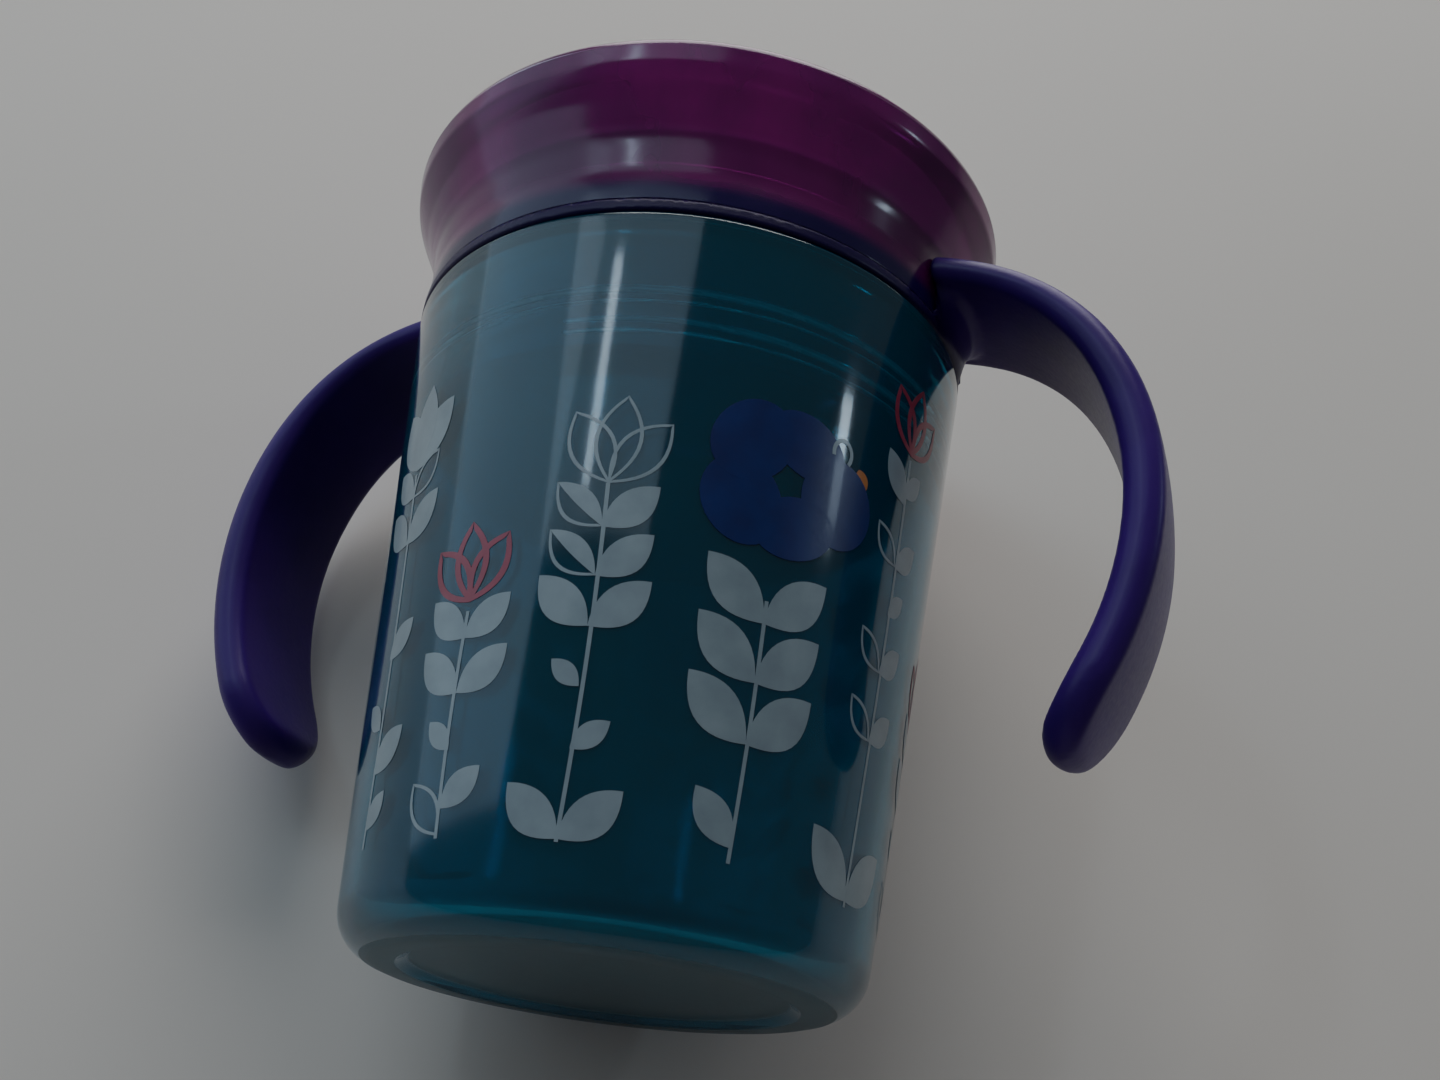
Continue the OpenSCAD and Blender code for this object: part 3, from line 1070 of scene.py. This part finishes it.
def make_camera():
    """The camera, low at the cup's foot and looking up along it."""
    data = bpy.data.cameras.new("camera")
    data.lens = LENS
    data.sensor_width = 36
    data.clip_start = 0.01
    data.clip_end = 20
    camera = bpy.data.objects.new("camera", data)
    bpy.context.scene.collection.objects.link(camera)
    a, h, e, roll = (math.radians(x) for x in (VIEW_AZIMUTH, HEADING, RISE, ROLL))
    place = Vector((math.sin(a), -math.cos(a), 0)) * CAMERA_DISTANCE
    place.z = CAMERA_Z
    ahead = Vector((-math.sin(h) * math.cos(e), math.cos(h) * math.cos(e), math.sin(e)))
    level = ahead.cross(Vector((0, 0, 1))).normalized()
    upright = level.cross(ahead)
    right = level * math.cos(roll) + upright * math.sin(roll)
    up = upright * math.cos(roll) - level * math.sin(roll)
    axes = Matrix((right, up, -ahead)).transposed().to_4x4()
    camera.matrix_world = Matrix.Translation(place) @ axes
    bpy.context.scene.camera = camera


def backdrop_material():
    """Pale matt floor, seen from its front only."""
    material, tree, bsdf = new_material("pale_floor")
    bsdf.inputs["Roughness"].default_value = 0.7
    patch = noise_node(tree, 3, 3)
    tint = ramp(tree, patch.outputs["Fac"], (0.72, 0.67, 0.61), (0.76, 0.71, 0.65))
    tree.links.new(tint.outputs["Color"], bsdf.inputs["Base Color"])
    clear = tree.nodes.new("ShaderNodeBsdfTransparent")
    side = tree.nodes.new("ShaderNodeNewGeometry")
    mix = tree.nodes.new("ShaderNodeMixShader")
    tree.links.new(side.outputs["Backfacing"], mix.inputs["Fac"])
    tree.links.new(bsdf.outputs["BSDF"], mix.inputs[1])
    tree.links.new(clear.outputs["BSDF"], mix.inputs[2])
    tree.links.new(mix.outputs["Shader"], tree.nodes["Material Output"].inputs["Surface"])
    return material


def plane(name, centre, normal, size, material):
    """A square plane that faces along its normal."""
    mesh = bpy.data.meshes.new(name)
    half = size / 2
    corners = [(-half, -half, 0), (half, -half, 0), (half, half, 0), (-half, half, 0)]
    mesh.from_pydata(corners, [], [(0, 1, 2, 3)])
    mesh.materials.append(material)
    sheet = bpy.data.objects.new(name, mesh)
    turn = Vector(normal).to_track_quat("Z", "Y").to_matrix().to_4x4()
    sheet.matrix_world = Matrix.Translation(centre) @ turn
    bpy.context.scene.collection.objects.link(sheet)
    return sheet


def make_backdrop():
    """The floor that the cup lies against, and the floor that it stands on seen from above."""
    material = backdrop_material()
    a = math.radians(VIEW_AZIMUTH)
    back = Vector((-math.sin(a), math.cos(a), 0))
    lean = math.atan2(RIM_R - cup_r(0), LID_TOP)
    normal = -back * math.cos(lean) + Vector((0, 0, 1)) * math.sin(lean)
    centre = back * (RIM_R + 0.6 * MM) + Vector((0, 0, LID_TOP))
    behind = plane("floor_behind", centre, normal, FLOOR_SIZE, material)
    behind.visible_shadow = False
    under = plane("floor_under", Vector((0, 0, -0.2 * MM)), (0, 0, 1), FLOOR_SIZE, material)
    under.visible_diffuse = False
    under.visible_glossy = False
    under.visible_transmission = False
    under.visible_shadow = False


def soft_light(name, place, target, width, height, power, colour=(1, 1, 1)):
    """A rectangular panel light that faces its target."""
    data = bpy.data.lights.new(name, "AREA")
    data.shape = "RECTANGLE"
    data.size = width
    data.size_y = height
    data.energy = power
    data.color = colour
    lamp = bpy.data.objects.new(name, data)
    way = Vector(target) - Vector(place)
    turn = way.to_track_quat("-Z", "Y").to_matrix().to_4x4()
    lamp.matrix_world = Matrix.Translation(place) @ turn
    bpy.context.scene.collection.objects.link(lamp)


def around(azimuth, distance, height):
    """A place round the cup, azimuth in degrees from -Y towards +X."""
    a = math.radians(azimuth)
    return Vector((math.sin(a) * distance, -math.cos(a) * distance, height))


def make_lights():
    """Two large cool panels, two narrow strips and a white panel above, in metres and watts."""
    target = (0, 0, 0.05)
    panels = 0.9
    strips = 0.86
    cool = (0.66, 0.84, 1)
    soft_light("window_high", around(-3, panels, 0.52), target, 0.76, 0.43, 0.95, cool)
    soft_light("window_left", around(-66, panels, 0.44), target, 1.75, 0.82, 4.2, cool)
    soft_light("strip_front", around(-9, strips, 0.46), target, 0.05, 0.24, 0.28, cool)
    soft_light("strip_right", around(91, strips, 0.42), target, 0.07, 0.14, 0.3, cool)
    soft_light("top", around(20, 0.25, 1.1), target, 0.9, 0.9, 10)
    world = bpy.data.worlds.new("studio")
    bpy.context.scene.world = world
    world.use_nodes = True
    world.node_tree.nodes["Background"].inputs["Color"].default_value = (0.9, 0.93, 1, 1)
    world.node_tree.nodes["Background"].inputs["Strength"].default_value = 0.1


# ---------------------------------------------------------------- build

make_camera()
make_backdrop()
make_lights()
build_cup(cup_plastic())
build_lid(lid_plastic())
build_handles(handle_plastic())
build_valve(valve_silicone())
build_print()
